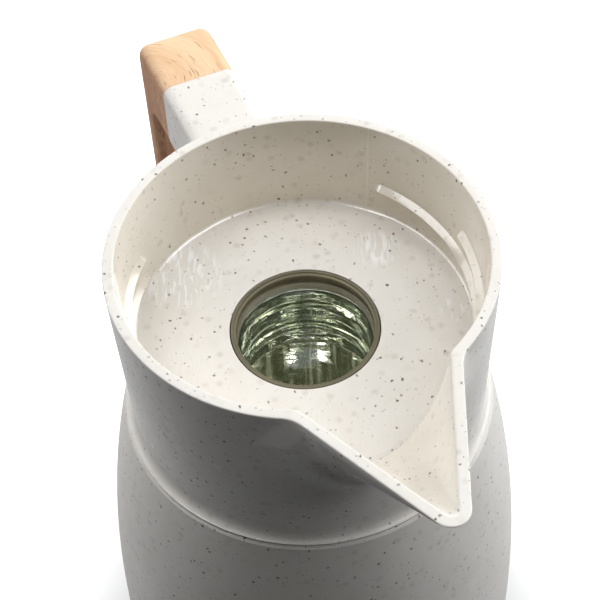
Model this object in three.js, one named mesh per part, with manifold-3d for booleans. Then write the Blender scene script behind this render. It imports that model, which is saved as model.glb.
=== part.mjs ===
// Thermal carafe with a glass vacuum liner: a collar with a pouring spout on a tapered casing,
// a wood grip held between two stubs, and a screw-in base for changing the liner.
// Millimetres. +Z is up, the spout points along +X, the handle along -X.
// The origin is the centre of the foot, on the surface that the carafe stands on.

import * as THREE from 'three';
import { mergeVertices } from 'three/addons/utils/BufferGeometryUtils.js';
import { ConvexGeometry } from 'three/addons/geometries/ConvexGeometry.js';
import Module from 'manifold-3d';

const wasm = await Module();
wasm.setup();

// Overall
const rimHeight = 215;
const wallThickness = 3;
const fitGap = 0.3;

// Collar
const rimRadius = 53;
const rimEdge = 1.2;
const collarHeight = 59.6;
const waistTaper = 1.4;
const waistFlare = 2.5;
const waistFlareHeight = 5.8;
const collarLip = 0.8;
const bowlDepth = 31.6;
const bowlDraft = 1.8;
const bowlFillet = 1.6;
const floorThickness = 3;
const spigotDepth = 11.4;
const spigotThickness = 2.8;
const spigotFit = 0.4;
const collarSealHeight = 1.6;
const sealSocketDepth = 12.4;
const sealSocketWall = 2.5;

// Spout
const spoutReach = 38.2;
const spoutTipRadius = 5;
const spoutHalfAngle = 24.7;
const spoutSill = 0.5;
const spoutRampStart = 4;
const spoutLipDepth = 2.5;
const spoutSectionPower = 1.5;

// Thread ribs for the lid: two pairs, each pair half a turn from the other
const lidThreadLead = 27;
const lidRibHeight = 2.4;
const lidRibDepth = 1.3;
const lidRibRoot = 0.7;
const lidRibs = [
  { highEnd: 130.5, sweep: 85, rise: 10.7 },
  { highEnd: 91.5, sweep: 46, rise: 15.8 },
];

// Glass liner
const neckBore = 19.3;
const glassThickness = 1.5;
const glassLipHeight = 1.5;
const linerBore = 42.5;
const vacuumGap = 3;
const neckLength = 20;
const shoulderDrop = 35;
const bottomDome = 28;
const linerClearance = 11.8;
const tailLength = 5.5;
const tailRadius = 2.6;
const spacerRadius = 4;
const spacerHeight = 32;
const spacerCount = 3;

// Mouth seal
const sealWall = 1.7;
const sealFlange = 3.1;
const sealProud = 2.1;
const sealSkirt = 8;

// Base cap and its thread
const capThickness = 3;
const capWallThickness = 3;
const capWallHeight = 9;
const capThreadRoot = 1.6;
const capGripWidth = 12;
const capGripDepth = 1.6;
const capGripRadius = 34;
const threadLead = 8;
const threadStarts = 2;
const threadHeight = 1.4;
const threadBaseWidth = 2;
const threadCrestWidth = 1;
const threadFit = 0.4;
const capThreadSweep = 220;
const shellThreadSweep = 250;
const baseLip = 2;
const baseSealHeight = 1.4;
const linerSlack = 0.5;
const cushionBore = 10;
const cushionWidth = 12;

// Casing
const seamGap = 0.4;
const footClearance = 1;
const bellySwell = 3;
const bellyHeight = 42;
const shoulderPower = 2.4;
const footRounding = 4;
const footPlate = 3;
const footRingWidth = 2.4;
const footRingHeight = 2.3;
const footRingMargin = 1.6;

// Handle
const armWidth = 22.5;
const armHeight = 23.4;
const armDrop = 0.2;
const gripLength = 23.9;
const gripThickness = 9.5;
const gripCorner = 6;
const gripEdge = 3.2;
const gripInnerCorner = 4;
const fingerGap = 79;
const lowerArmHeight = 20;
const lowerStubLength = 10;
const tongueWall = 4.5;
const upperTongue = 14.7;
const lowerTongue = 8.7;

// Grip screws and plugs
const screwRadius = 1.5;
const screwGrip = 7.5;
const screwHeadRadius = 2.8;
const screwHeadHeight = 1.5;
const plugThickness = 0.9;

// Facets round the axis
const casingFacets = 48;
const linerFacets = 28;
const sealFacets = 28;
const screwFacets = 16;
const weldDistance = 1e-4;

// Radii and heights that follow from the sizes above
const seamHeight = rimHeight - collarHeight;
const waistRadius = rimRadius - waistTaper;
const seamRadius = waistRadius + waistFlare;
const floorHeight = rimHeight - bowlDepth;
const floorUnderside = floorHeight - floorThickness;
const bowlRimRadius = rimRadius - wallThickness;
const bowlFloorRadius = bowlRimRadius - bowlDraft;
const mouthRadius = neckBore + sealWall + fitGap;

const innerFlaskNeck = neckBore + glassThickness;
const outerFlaskNeck = innerFlaskNeck + fitGap + glassThickness;
const outerFlaskBore = linerBore + glassThickness + vacuumGap;
const linerRadius = outerFlaskBore + glassThickness;
const glassLipTop = floorUnderside - fitGap - sealFlange - fitGap;
const sealSocketRadius = outerFlaskNeck + fitGap + sealWall + fitGap;

const baseLipRadius = linerRadius + linerSlack;
const capWallRadius = baseLipRadius + capThreadRoot;
const capThreadRadius = capWallRadius + threadHeight;
const baseBore = capThreadRadius + threadFit;
const bossRadius = baseBore + wallThickness;
const footRingInner = baseBore + footRingMargin + fitGap;
const footRingOuter = footRingInner + footRingWidth;
const footFlat = footRingOuter + fitGap + footRingMargin;
const footTop = footClearance + footRounding;
const footPlateTop = footClearance + footPlate;
const footRadius = footFlat + footRounding;
const bellyRadius = footRadius + bellySwell;
const capTop = footClearance + capThickness;
const capWallTop = capTop + capWallHeight;
const baseLipHeight = capWallTop + fitGap + baseSealHeight + fitGap;
const shellTop = seamHeight - seamGap;
const shellNeckBore = seamRadius - wallThickness;
const spigotRadius = shellNeckBore - spigotFit;
const spigotBottom = seamHeight - spigotDepth;
const grooveMiddle = seamHeight - spigotDepth / 2;
const grooveRadius = spigotRadius - spigotThickness / 2;

const outerFlaskBottom = capTop + linerClearance;
const innerFlaskBottom = outerFlaskBottom + glassThickness + vacuumGap + glassThickness;
const domeTop = innerFlaskBottom + bottomDome;
const shoulderTop = glassLipTop - neckLength;
const shoulderBottom = shoulderTop - shoulderDrop;

const armTop = rimHeight - armDrop;
const armUnderside = armTop - armHeight;
const lowerArmTop = armUnderside - fingerGap;
const lowerArmBottom = lowerArmTop - lowerArmHeight;
const gripJoint = -(bellyRadius + lowerStubLength);
const gripBack = gripJoint - gripLength;

function solidOf(geometry) {
  const bare = geometry.clone();
  bare.deleteAttribute('normal');
  bare.deleteAttribute('uv');
  const welded = mergeVertices(bare, weldDistance);
  const corners = Array.from(welded.index.array);
  const faces = [];
  for (let i = 0; i < corners.length; i += 3) {
    const [a, b, c] = corners.slice(i, i + 3);
    if (a !== b && b !== c && c !== a) faces.push(a, b, c);
  }
  const vertProperties = Float32Array.from(welded.attributes.position.array);
  const triVerts = Uint32Array.from(faces);
  return new wasm.Manifold(new wasm.Mesh({ numProp: 3, vertProperties, triVerts }));
}

function join(first, ...others) {
  return others.reduce((whole, piece) => whole.add(piece), first);
}

function cut(first, ...others) {
  return others.reduce((whole, piece) => whole.subtract(piece), first);
}

// A ring or a turned solid from its profile of [radius, height] points
function turned(profile, facets) {
  const points = profile.map(([r, z]) => new THREE.Vector2(r, z));
  if (THREE.ShapeUtils.area(points) < 0) points.reverse();
  if (points[0].x > 0) points.push(points[0].clone());
  const geometry = new THREE.LatheGeometry(points, facets);
  geometry.rotateX(Math.PI / 2);
  return solidOf(geometry);
}

// Points of a curve as [radius, height]
function along(curve, divisions) {
  return curve.getPoints(divisions).map((p) => [p.x, p.y]);
}

// Quarter round from one side of a corner to the other, as [radius, height] points
function round(r, z, radius, fromAngle, toAngle, divisions = 2) {
  const from = THREE.MathUtils.degToRad(fromAngle);
  const to = THREE.MathUtils.degToRad(toAngle);
  const curve = new THREE.EllipseCurve(r, z, radius, radius, from, to, toAngle < fromAngle);
  return along(curve, divisions);
}

// A box from its low corner to its high corner
function block(low, high) {
  const size = high.map((h, i) => h - low[i]);
  const geometry = new THREE.BoxGeometry(...size);
  geometry.translate(...low.map((l, i) => l + size[i] / 2));
  return solidOf(geometry);
}

// An upright cylinder between two heights
function upright(x, y, bottom, top, radius, facets = screwFacets) {
  const geometry = new THREE.CylinderGeometry(radius, radius, top - bottom, facets);
  geometry.rotateX(Math.PI / 2);
  geometry.translate(x, y, (bottom + top) / 2);
  return solidOf(geometry);
}

// A rib of [radius, height] section wound along a right-hand helix.
// It starts at its high end, at highAngle degrees, and falls as the angle falls.
function helicalRib(section, highAngle, sweep, lead) {
  const stepAngle = 10;
  const shape = new THREE.Shape(section.map(([r, z]) => new THREE.Vector2(r, z)));
  const steps = Math.ceil(sweep / stepAngle);
  const geometry = new THREE.ExtrudeGeometry(shape, { depth: 1, steps, bevelEnabled: false });
  const position = geometry.attributes.position;
  const drop = lead * sweep / 360;
  for (let i = 0; i < position.count; i += 1) {
    const share = position.getZ(i);
    const radius = position.getX(i);
    const angle = THREE.MathUtils.degToRad(highAngle - sweep * share);
    const height = position.getY(i) - drop * share;
    position.setXYZ(i, radius * Math.cos(angle), radius * Math.sin(angle), height);
  }
  return solidOf(geometry);
}

// Outer radius of the casing at a height: full at the belly, drawn in to the seam and to the foot
function casingRadius(z) {
  if (z < bellyHeight) {
    const down = (bellyHeight - z) / (bellyHeight - footTop);
    return bellyRadius - bellySwell * down ** 2;
  }
  const up = (z - bellyHeight) / (shellTop - bellyHeight);
  return bellyRadius - (bellyRadius - seamRadius) * up ** shoulderPower;
}

// The whole handle loop, from which the two stubs and the wood grip are cut
function handleLoop() {
  const inside = -(rimRadius - 2 * wallThickness);
  const shape = new THREE.Shape();
  shape.moveTo(inside, lowerArmBottom);
  shape.lineTo(inside, lowerArmTop);
  shape.lineTo(gripBack + gripThickness + gripInnerCorner, lowerArmTop);
  shape.absarc(gripBack + gripThickness + gripInnerCorner, lowerArmTop + gripInnerCorner, gripInnerCorner,
    -Math.PI / 2, -Math.PI, true);
  shape.absarc(gripBack + gripThickness + gripInnerCorner, armUnderside - gripInnerCorner, gripInnerCorner,
    Math.PI, Math.PI / 2, true);
  shape.lineTo(inside, armUnderside);
  shape.lineTo(inside, armTop);
  shape.absarc(gripBack + gripCorner, armTop - gripCorner, gripCorner, Math.PI / 2, Math.PI, false);
  shape.absarc(gripBack + gripCorner, lowerArmBottom + gripCorner, gripCorner,
    Math.PI, 1.5 * Math.PI, false);
  shape.closePath();
  const geometry = new THREE.ExtrudeGeometry(shape, {
    depth: armWidth - 2 * gripEdge,
    bevelEnabled: true,
    bevelThickness: gripEdge,
    bevelSize: gripEdge,
    bevelOffset: -gripEdge,
    bevelSegments: 3,
    curveSegments: 4,
  });
  geometry.rotateX(Math.PI / 2);
  geometry.translate(0, armWidth / 2 - gripEdge, 0);
  return solidOf(geometry);
}

// The pocket and the tongue of one arm, at a gap inside or outside the same faces
function tongue(bottom, top, length, gap) {
  const half = armWidth / 2 - tongueWall + gap;
  const low = bottom + tongueWall - gap;
  const high = top - tongueWall + gap;
  return { half, low, high, end: gripJoint + length + gap };
}

function tongueBlock(bottom, top, length, gap, start) {
  const t = tongue(bottom, top, length, gap);
  return block([start, -t.half, t.low], [t.end, t.half, t.high]);
}

// Heights of one grip screw, from the underside of its arm
function screwHeights(bottom) {
  const headBottom = bottom + plugThickness + fitGap;
  const headTop = headBottom + screwHeadHeight;
  const tip = bottom + tongueWall + screwGrip;
  return { headBottom, headTop, seat: headTop + fitGap, tip };
}

// Plan of the spout at a distance inside its outer face: straight sides and a round tip
function spoutPlan(inset, root, height) {
  const angle = THREE.MathUtils.degToRad(spoutHalfAngle);
  const tipRadius = spoutTipRadius - inset;
  const centre = rimRadius + spoutReach - spoutTipRadius;
  const turn = Math.PI / 2 - angle;
  const tip = new THREE.EllipseCurve(centre, 0, tipRadius, tipRadius, -turn, turn).getPoints(6);
  const widest = tip[tip.length - 1];
  const rootHalf = widest.y + (widest.x - root) * Math.tan(angle);
  const corners = [new THREE.Vector2(root, rootHalf), new THREE.Vector2(root, -rootHalf), ...tip];
  return { rootHalf, points: corners.map((p) => new THREE.Vector3(p.x, p.y, height)) };
}

// Rounded V section of the spout across one station
function spoutSection(station, halfWidth, depth) {
  const points = [];
  const divisions = 6;
  for (let i = 0; i <= divisions; i += 1) {
    const share = Math.sin(i / divisions * Math.PI / 2);
    const half = halfWidth * Math.sqrt(1 - share ** spoutSectionPower);
    points.push(new THREE.Vector3(station, half, rimHeight - depth * share));
    points.push(new THREE.Vector3(station, -half, rimHeight - depth * share));
  }
  return points;
}

const spoutRampDepth = bowlDepth - spoutSill;
const spoutInnerTip = rimRadius + spoutReach - wallThickness;
const spoutRampFoot = bowlFloorRadius;
const spoutSlope = spoutRampDepth / (spoutInnerTip - spoutRampFoot);

function spoutOutside() {
  const root = bowlFloorRadius - spoutRampStart;
  const plan = spoutPlan(0, root, rimHeight);
  const lip = spoutPlan(0, root, rimHeight - spoutLipDepth);
  const depth = (spoutInnerTip - root) * spoutSlope + wallThickness * Math.hypot(1, spoutSlope);
  const section = spoutSection(root, plan.rootHalf, depth);
  return solidOf(new ConvexGeometry([...plan.points, ...lip.points, ...section]));
}

function spoutInside() {
  const root = bowlFloorRadius - spoutRampStart;
  const above = spoutPlan(wallThickness, root, rimHeight + wallThickness);
  const plan = spoutPlan(wallThickness, root, rimHeight);
  const foot = spoutPlan(wallThickness, spoutRampFoot, rimHeight);
  return solidOf(new ConvexGeometry([
    ...above.points,
    ...plan.points,
    ...spoutSection(root, plan.rootHalf, spoutRampDepth),
    ...spoutSection(spoutRampFoot, foot.rootHalf, spoutRampDepth),
  ]));
}

// Middle of the collar's and the casing's wall, to trim what is added from outside
function wallCore() {
  const middle = wallThickness / 2;
  const topHeight = rimHeight + wallThickness;
  return turned([
    [0, footPlateTop],
    [casingRadius(lowerArmBottom) - middle, footPlateTop],
    [casingRadius(lowerArmBottom) - middle, lowerArmBottom - wallThickness],
    [casingRadius(lowerArmTop) - middle, lowerArmTop + wallThickness],
    [seamRadius - waistFlare - middle, shellTop],
    [waistRadius - middle, seamHeight + waistFlareHeight],
    [rimRadius - middle, rimHeight],
    [rimRadius - middle, topHeight],
    [0, topHeight],
  ], casingFacets);
}

function collarRing() {
  const spigotBore = spigotRadius - spigotThickness;
  const grooveHalf = collarSealHeight / 2 + fitGap;
  const skirtTop = seamHeight + waistFlareHeight;
  const flare = new THREE.QuadraticBezierCurve(
    new THREE.Vector2(seamRadius, seamHeight + collarLip),
    new THREE.Vector2(waistRadius, seamHeight + collarLip + 1),
    new THREE.Vector2(waistRadius, skirtTop),
  );
  return turned([
    ...along(flare, 3),
    ...round(rimRadius - rimEdge, rimHeight - rimEdge, rimEdge, 0, 90),
    ...round(bowlRimRadius + rimEdge, rimHeight - rimEdge, rimEdge, 90, 180),
    ...round(bowlFloorRadius - bowlFillet, floorHeight + bowlFillet, bowlFillet, 0, -90),
    [mouthRadius, floorHeight],
    [mouthRadius, floorUnderside],
    [sealSocketRadius, floorUnderside],
    [sealSocketRadius, floorUnderside - sealSocketDepth],
    [sealSocketRadius + sealSocketWall, floorUnderside - sealSocketDepth],
    [sealSocketRadius + sealSocketWall, floorUnderside],
    [waistRadius - wallThickness, floorUnderside],
    [waistRadius - wallThickness, skirtTop],
    [spigotBore, seamHeight],
    [spigotBore, spigotBottom],
    [spigotRadius, spigotBottom],
    [spigotRadius, grooveMiddle - grooveHalf],
    [grooveRadius, grooveMiddle - grooveHalf],
    [grooveRadius, grooveMiddle + grooveHalf],
    [spigotRadius, grooveMiddle + grooveHalf],
    [spigotRadius, seamHeight],
    [seamRadius, seamHeight],
  ], casingFacets);
}

// One arm of the handle: heights, tongue length and the place of its screw
function handleArm(bottom, top, tongueLength) {
  return { bottom, top, tongueLength, screwX: gripJoint + tongueLength / 2 };
}

const upperArm = handleArm(armUnderside, armTop, upperTongue);
const lowerArm = handleArm(lowerArmBottom, lowerArmTop, lowerTongue);
const loop = handleLoop();

// The plastic end of one arm, from the middle of the wall to the joint with the wood
function armStub(arm) {
  const margin = wallThickness;
  const reach = block(
    [gripJoint + fitGap / 2, -armWidth, arm.bottom - margin],
    [0, armWidth, arm.top + margin],
  );
  return cut(loop.intersect(reach), wallCore());
}

// What one stub leaves open: the tongue's pocket, the screw's way in and its head's seat
function stubCuts(arm) {
  const screw = screwHeights(arm.bottom);
  const pocketStart = gripJoint - wallThickness;
  return [
    tongueBlock(arm.bottom, arm.top, arm.tongueLength, fitGap, pocketStart),
    upright(arm.screwX, 0, arm.bottom - wallThickness, screw.seat, screwHeadRadius + fitGap),
    upright(arm.screwX, 0, arm.bottom, arm.bottom + tongueWall + fitGap, screwRadius + fitGap),
  ];
}

function lidThreadRibs() {
  const wallAt = (z) => bowlFloorRadius + bowlDraft * (z - floorHeight) / bowlDepth;
  const half = lidRibHeight / 2;
  const ribs = [];
  for (const rib of lidRibs) {
    const z = floorHeight + rib.rise;
    const root = wallAt(z) + lidRibRoot;
    const crest = wallAt(z) - lidRibDepth;
    const section = [
      [root, z - half],
      [root, z + half],
      [crest + half / 2, z + half],
      [crest, z + half / 2],
      [crest, z - half / 2],
      [crest + half / 2, z - half],
    ];
    for (const turn of [0, 180]) {
      ribs.push(helicalRib(section, rib.highEnd + turn, rib.sweep, lidThreadLead));
    }
  }
  return ribs;
}

function pouringCollar() {
  const spout = cut(spoutOutside(), wallCore());
  const whole = join(collarRing(), spout, armStub(upperArm));
  const opened = cut(whole, spoutInside(), ...stubCuts(upperArm));
  return join(opened, ...lidThreadRibs());
}

// Thread of the base: ribs on the cap stand outwards, ribs in the casing stand inwards,
// half a pitch apart, so that they pass each other along one helix
const threadTop = capWallTop - threadBaseWidth / 2 - fitGap;

function threadRibs(root, crest, centre, sweep) {
  const base = threadBaseWidth / 2;
  const top = threadCrestWidth / 2;
  const ribs = [];
  for (let start = 0; start < threadStarts; start += 1) {
    const section = [
      [root, centre - base],
      [crest, centre - top],
      [crest, centre + top],
      [root, centre + base],
    ];
    ribs.push(helicalRib(section, 360 * start / threadStarts, sweep, threadLead));
  }
  return ribs;
}

function bodyShell() {
  const outside = [];
  const outsideSteps = 9;
  for (let i = 0; i <= outsideSteps; i += 1) {
    const z = footTop + (shellTop - footTop) * i / outsideSteps;
    outside.push([casingRadius(z), z]);
  }
  const inside = [];
  const insideSteps = 4;
  const neckBottom = spigotBottom - wallThickness;
  for (let i = 0; i <= insideSteps; i += 1) {
    const z = neckBottom - (neckBottom - footTop) * i / insideSteps;
    inside.push([casingRadius(z) - wallThickness, z]);
  }
  const grooveTop = footRingHeight + fitGap;
  const casing = turned([
    ...round(footFlat, footTop, footRounding, -90, 0, 3).slice(0, -1),
    ...outside,
    [shellNeckBore, shellTop],
    [shellNeckBore, spigotBottom],
    ...inside,
    [casingRadius(footTop) - wallThickness, footPlateTop],
    [bossRadius, footPlateTop],
    [bossRadius, baseLipHeight + baseLip],
    [baseLipRadius, baseLipHeight + baseLip],
    [baseLipRadius, baseLipHeight],
    [baseBore, baseLipHeight],
    [baseBore, footClearance],
    [footRingInner - fitGap, footClearance],
    [footRingInner - fitGap, grooveTop],
    [footRingOuter + fitGap, grooveTop],
    [footRingOuter + fitGap, footClearance],
  ], casingFacets);
  const halfPitch = threadLead / threadStarts / 2;
  const threadCrest = baseBore - threadHeight;
  const ribs = threadRibs(baseBore + threadFit, threadCrest, threadTop + halfPitch, shellThreadSweep);
  return cut(join(casing, armStub(lowerArm), ...ribs), ...stubCuts(lowerArm));
}

function woodGrip() {
  const margin = wallThickness;
  const reach = block(
    [gripBack - margin, -armWidth, lowerArmBottom - margin],
    [gripJoint - fitGap / 2, armWidth, armTop + margin],
  );
  let grip = loop.intersect(reach);
  for (const arm of [upperArm, lowerArm]) {
    const start = gripJoint - margin;
    const tip = screwHeights(arm.bottom).tip;
    grip = join(grip, tongueBlock(arm.bottom, arm.top, arm.tongueLength, 0, start));
    grip = cut(grip, upright(arm.screwX, 0, arm.bottom, tip + fitGap, screwRadius + fitGap));
  }
  return grip;
}

function gripScrew(arm) {
  const { headBottom, headTop, tip } = screwHeights(arm.bottom);
  const overlap = screwHeadHeight / 2;
  return join(
    upright(arm.screwX, 0, headBottom, headTop, screwHeadRadius),
    upright(arm.screwX, 0, headTop - overlap, tip, screwRadius),
  );
}

function screwPlug(arm) {
  return upright(arm.screwX, 0, arm.bottom, arm.bottom + plugThickness, screwHeadRadius);
}

function mouthSeal() {
  const bore = neckBore;
  const flangeTop = floorUnderside - fitGap;
  const flangeBottom = flangeTop - sealFlange;
  const skirtInner = outerFlaskNeck + fitGap;
  const skirtOuter = skirtInner + sealWall;
  return turned([
    [bore, flangeBottom],
    [skirtInner, flangeBottom],
    [skirtInner, flangeBottom - sealSkirt],
    [skirtOuter, flangeBottom - sealSkirt],
    [skirtOuter, flangeTop],
    [bore + sealWall, flangeTop],
    [bore + sealWall, flangeTop + sealProud],
    [bore, flangeTop + sealProud],
  ], sealFacets);
}

// One face of a flask from the middle of its bottom up to its neck
function flaskFace(neckRadius, bodyRadius, bottom, neckFoot) {
  const dome = new THREE.EllipseCurve(0, domeTop, bodyRadius, domeTop - bottom, -Math.PI / 2, 0);
  const rise = neckFoot - shoulderBottom;
  const shoulder = new THREE.CubicBezierCurve(
    new THREE.Vector2(bodyRadius, shoulderBottom),
    new THREE.Vector2(bodyRadius, shoulderBottom + rise * 0.6),
    new THREE.Vector2(neckRadius, neckFoot - rise * 0.5),
    new THREE.Vector2(neckRadius, neckFoot),
  );
  return [...along(dome, 5), ...along(shoulder, 6)];
}

function linerInnerFlask() {
  const inside = flaskFace(neckBore, linerBore, innerFlaskBottom, shoulderTop);
  const outside = flaskFace(innerFlaskNeck, linerBore + glassThickness, innerFlaskBottom - glassThickness,
    shoulderTop + glassThickness);
  const lipBottom = glassLipTop - glassLipHeight;
  return turned([
    ...outside,
    [innerFlaskNeck, lipBottom],
    [outerFlaskNeck, lipBottom],
    [outerFlaskNeck, glassLipTop],
    [neckBore, glassLipTop],
    ...inside.reverse(),
  ], linerFacets);
}

function linerOuterFlask() {
  const neckInside = innerFlaskNeck + fitGap;
  const top = glassLipTop - glassLipHeight - fitGap;
  const neckFoot = shoulderTop + vacuumGap;
  const inside = flaskFace(neckInside, outerFlaskBore, outerFlaskBottom + glassThickness, neckFoot);
  const outside = flaskFace(outerFlaskNeck, linerRadius, outerFlaskBottom, neckFoot + glassThickness);
  const flask = turned([
    ...outside,
    [outerFlaskNeck, top],
    [neckInside, top],
    ...inside.reverse(),
  ], linerFacets);
  const tail = turned([
    [0, outerFlaskBottom - tailLength],
    [tailRadius / 2, outerFlaskBottom - tailLength + tailRadius / 2],
    [tailRadius, outerFlaskBottom + glassThickness / 2],
    [0, outerFlaskBottom + glassThickness / 2],
  ], screwFacets);
  return join(flask, tail);
}

function spacerPad(index) {
  const thickness = vacuumGap - 3 * fitGap;
  const geometry = new THREE.CylinderGeometry(spacerRadius, spacerRadius, thickness, screwFacets);
  geometry.rotateZ(Math.PI / 2);
  const radius = linerBore + glassThickness + fitGap + thickness / 2;
  geometry.translate(radius, 0, domeTop + spacerHeight);
  geometry.rotateZ((index + 0.5) * 2 * Math.PI / spacerCount);
  return solidOf(geometry);
}

function collarSeal() {
  const inner = grooveRadius + fitGap;
  const outer = shellNeckBore - fitGap;
  const half = collarSealHeight / 2;
  return turned([
    [inner, grooveMiddle - half],
    [outer, grooveMiddle - half],
    [outer, grooveMiddle + half],
    [inner, grooveMiddle + half],
  ], casingFacets);
}

function baseCap() {
  const plug = turned([
    [0, footClearance],
    [capThreadRadius, footClearance],
    [capThreadRadius, capTop],
    [capWallRadius, capTop],
    [capWallRadius, capWallTop],
    [capWallRadius - capWallThickness, capWallTop],
    [capWallRadius - capWallThickness, capTop],
    [0, capTop],
  ], casingFacets);
  const ribs = threadRibs(capWallRadius - threadFit, capThreadRadius, threadTop, capThreadSweep);
  const hollows = [1, -1].map((side) => {
    const hollowTop = footClearance + capGripDepth;
    const hollow = upright(0, 0, footClearance - capThickness, hollowTop, capGripRadius, casingFacets);
    const reach = side * capGripWidth / 2;
    const low = [-capGripRadius, Math.min(reach, side * capGripRadius), -capThickness];
    const high = [capGripRadius, Math.max(reach, side * capGripRadius), capTop];
    return hollow.intersect(block(low, high));
  });
  return cut(join(plug, ...ribs), ...hollows);
}

function baseSeal() {
  const inner = capWallRadius - capWallThickness + fitGap;
  const outer = capWallRadius - fitGap / 2;
  const bottom = capWallTop + fitGap;
  return turned([
    [inner, bottom],
    [outer, bottom],
    [outer, bottom + baseSealHeight],
    [inner, bottom + baseSealHeight],
  ], casingFacets);
}

// Rubber cup under the liner: its top follows the dome of the outer flask
function linerCushion() {
  const bottom = capTop + fitGap;
  const cushionOuter = cushionBore + cushionWidth;
  const domeHeight = domeTop - outerFlaskBottom;
  const steps = 3;
  const seat = [];
  for (let i = 0; i <= steps; i += 1) {
    const r = cushionOuter - cushionWidth * i / steps;
    const dome = domeTop - domeHeight * Math.sqrt(1 - (r / linerRadius) ** 2);
    seat.push([r, dome - 2 * fitGap]);
  }
  return turned([[cushionBore, bottom], [cushionOuter, bottom], ...seat], sealFacets);
}

function footRing() {
  const edge = fitGap;
  return turned([
    [footRingInner + edge, 0],
    [footRingOuter - edge, 0],
    [footRingOuter, edge],
    [footRingOuter, footRingHeight],
    [footRingInner, footRingHeight],
    [footRingInner, edge],
  ], casingFacets);
}

const speckledPlastic = { color: 0xece8e1, roughness: 0.35, metalness: 0 };
const beech = { color: 0xe3b27c, roughness: 0.5, metalness: 0 };
const taupeSilicone = { color: 0x8d836b, roughness: 0.6, metalness: 0 };
const silveredGlass = { color: 0x9db098, roughness: 0.08, metalness: 0.9 };
const greyRubber = { color: 0x55534f, roughness: 0.8, metalness: 0 };
const paleFelt = { color: 0xcfc8b8, roughness: 0.9, metalness: 0 };
const steel = { color: 0xb9bbbd, roughness: 0.3, metalness: 1 };

const group = new THREE.Group();

function addPiece(name, solid, finish) {
  const { vertProperties, triVerts } = solid.getMesh();
  const geometry = new THREE.BufferGeometry();
  geometry.setAttribute('position', new THREE.BufferAttribute(vertProperties, 3));
  geometry.setIndex(new THREE.BufferAttribute(triVerts, 1));
  geometry.computeVertexNormals();
  const mesh = new THREE.Mesh(geometry, new THREE.MeshStandardMaterial(finish));
  mesh.name = name;
  group.add(mesh);
}

addPiece('pouring_collar', pouringCollar(), speckledPlastic);
addPiece('body_shell', bodyShell(), speckledPlastic);
addPiece('collar_seal', collarSeal(), greyRubber);
addPiece('mouth_seal', mouthSeal(), taupeSilicone);
addPiece('liner_inner_flask', linerInnerFlask(), silveredGlass);
addPiece('liner_outer_flask', linerOuterFlask(), silveredGlass);
for (let i = 0; i < spacerCount; i += 1) addPiece(`spacer_pad_${i + 1}`, spacerPad(i), paleFelt);
addPiece('liner_cushion', linerCushion(), greyRubber);
addPiece('base_cap', baseCap(), speckledPlastic);
addPiece('base_seal', baseSeal(), greyRubber);
addPiece('foot_ring', footRing(), greyRubber);
addPiece('wood_grip', woodGrip(), beech);
addPiece('upper_grip_screw', gripScrew(upperArm), steel);
addPiece('lower_grip_screw', gripScrew(lowerArm), steel);
addPiece('upper_screw_plug', screwPlug(upperArm), speckledPlastic);
addPiece('lower_screw_plug', screwPlug(lowerArm), speckledPlastic);

export default group;
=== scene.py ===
from math import atan2, ceil, cos, degrees, exp, hypot, pi, radians, sin, sqrt, tan

import bmesh
import bpy
from mathutils import Matrix, Vector


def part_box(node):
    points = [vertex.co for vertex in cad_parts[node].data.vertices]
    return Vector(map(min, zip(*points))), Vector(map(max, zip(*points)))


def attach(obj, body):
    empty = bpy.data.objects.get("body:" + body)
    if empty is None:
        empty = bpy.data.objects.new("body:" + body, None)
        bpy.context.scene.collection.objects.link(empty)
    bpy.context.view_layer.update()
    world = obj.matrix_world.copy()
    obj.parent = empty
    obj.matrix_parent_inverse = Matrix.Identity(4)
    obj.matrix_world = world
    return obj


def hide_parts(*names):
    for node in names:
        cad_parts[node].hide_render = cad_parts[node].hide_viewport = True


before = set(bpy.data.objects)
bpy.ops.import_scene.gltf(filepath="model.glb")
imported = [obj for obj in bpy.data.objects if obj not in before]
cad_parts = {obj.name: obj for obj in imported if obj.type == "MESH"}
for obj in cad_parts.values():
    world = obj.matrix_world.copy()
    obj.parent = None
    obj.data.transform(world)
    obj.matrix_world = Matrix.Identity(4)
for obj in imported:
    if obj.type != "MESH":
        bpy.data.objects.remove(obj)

scene = bpy.context.scene
scene.view_settings.view_transform = "Standard"
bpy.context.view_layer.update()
millimetre = 0.001
mergeDistance = 2e-3  # millimetres, like every shape until it becomes an object
tiny = 1e-4
roundAxis = {"cent": (0, 0, 0), "axis": (0, 0, 1)}
white = (1, 1, 1, 1)
print("frame loaded,", len(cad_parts), "CAD nodes")


# Outlines, in millimetres, as (radius, height) points

def boxOf(node):
    low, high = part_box(node)
    return low / millimetre, high / millimetre


def arcPoints(r, z, radius, fromAngle, toAngle, steps=6):
    angles = [radians(fromAngle + (toAngle - fromAngle) * i / steps) for i in range(steps + 1)]
    return [(r + radius * cos(a), z + radius * sin(a)) for a in angles]


def bezierPoints(start, pull, end, steps=8):
    points = []
    for i in range(steps + 1):
        t = i / steps
        points.append(tuple(
            (1 - t) ** 2 * a + 2 * t * (1 - t) * b + t * t * c for a, b, c in zip(start, pull, end)))
    return points


def softCorners(corners, steps=4):  # closed outline of (radius, height, rounding) corners
    points = []
    for i, (r, z, rounding) in enumerate(corners):
        here = Vector((r, z))
        if rounding == 0:
            points.append((r, z))
            continue
        before = (Vector(corners[i - 1][:2]) - here).normalized()
        after = (Vector(corners[(i + 1) % len(corners)][:2]) - here).normalized()
        half = before.angle(after) / 2
        centre = here + (before + after).normalized() * rounding / sin(half)
        first = here + before * rounding / tan(half) - centre
        last = here + after * rounding / tan(half) - centre
        turn = atan2(first.x * last.y - first.y * last.x, first.dot(last))
        for step in range(steps + 1):
            points.append(tuple(centre + Matrix.Rotation(turn * step / steps, 2) @ first))
    return points


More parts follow.
